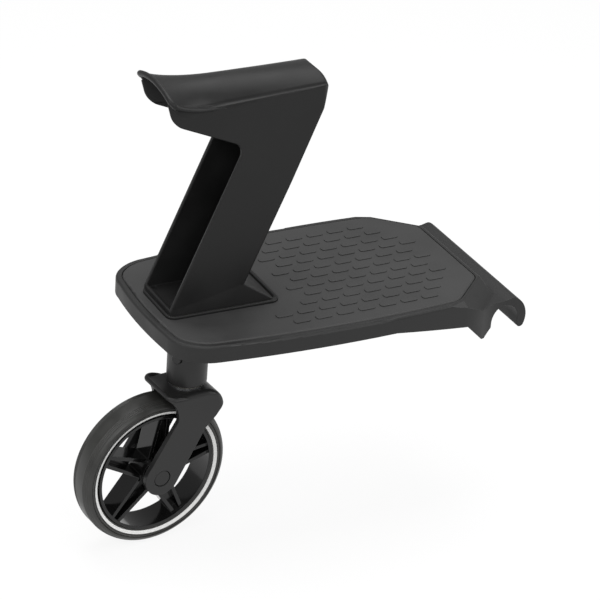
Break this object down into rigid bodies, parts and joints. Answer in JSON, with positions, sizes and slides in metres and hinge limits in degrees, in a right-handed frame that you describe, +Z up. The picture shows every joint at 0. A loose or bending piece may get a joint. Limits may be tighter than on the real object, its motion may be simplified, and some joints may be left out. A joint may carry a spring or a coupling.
{
  "type": "buggy board",
  "caption": "Stroller ride-on board with a matted deck, saddle seat, axle hook with a sprung latch, and a swivelling caster wheel on a quick-release stem.",
  "frame": {"origin": "middle of the axis of the axle tube that the hook holds", "axes": "+X towards the stroller, +Y along the axle tube to the board's far side, +Z up"},
  "size_m": [0.4235, 0.1956, 0.4675],
  "materials": {
    "deck_shell": "fine moulded grain",
    "deck_mat": "matt rubber with short raised dashes",
    "seat_shell": "fine moulded grain",
    "stem": "satin moulding",
    "fork": "satin moulding",
    "rim": "polished black",
    "tyre": "matt foam rubber",
    "stripe": "pale reflective ring",
    "latch": "satin moulding",
    "bush": "plain bearing moulding",
    "steel": "zinc plated",
    "screws": "zinc plated",
    "springs": "bright spring wire"
  },
  "bodies": {
    "deck": {"deck_shell": "deck_shell", "deck_mat": "deck_mat", "underside_cover": "deck_shell", "cover_screws": "screws", "seat_shell": "seat_shell", "seat_anchor_bars": "steel", "seat_screws": "screws", "stem_housing": "stem", "stem_screws": "screws", "upper_swivel_bush": "bush", "lower_swivel_bush": "bush", "release_spring": "springs", "latch_springs": "springs", "latch_screws": "screws"},
    "caster": {"caster_fork": "fork", "kingpin": "steel", "thrust_washer": "steel", "axle_bolt": "steel", "axle_nut": "steel", "axle_spacers": "steel", "near_axle_cap": "fork", "far_axle_cap": "fork"},
    "wheel": {"wheel_rim": "rim", "tyre": "tyre", "near_stripe": "stripe", "far_stripe": "stripe", "near_wheel_bearing": "steel", "far_wheel_bearing": "steel", "bearing_spacer": "steel"},
    "release": {"wheel_release_button": "stem"},
    "latch": {"latch_plate": "latch"}
  },
  "joints": [
    {"name": "caster_swivel", "type": "hinge", "parent": "deck", "child": "caster", "pos_m": [-0.2883, 0, 0], "axis": [0, 0, 1], "continuous": true},
    {"name": "wheel_spin", "type": "hinge", "parent": "caster", "child": "wheel", "pos_m": [-0.32414, -0.00339, -0.134], "axis": [-0.0941, 0.9956, 0], "continuous": true},
    {"name": "wheel_release_press", "type": "slide", "parent": "deck", "child": "release", "axis": [0.8387, 0.5446, 0], "range_m": [0, 0.003], "stiffness_N_per_m": 900, "springref_m": -0.003, "deforming": ["release_spring"]},
    {"name": "axle_latch_slide", "type": "slide", "parent": "deck", "child": "latch", "axis": [-0.7193, 0, -0.6947], "range_m": [0, 0.0035], "stiffness_N_per_m": 1200, "springref_m": -0.003, "deforming": ["latch_springs"]}
  ]
}
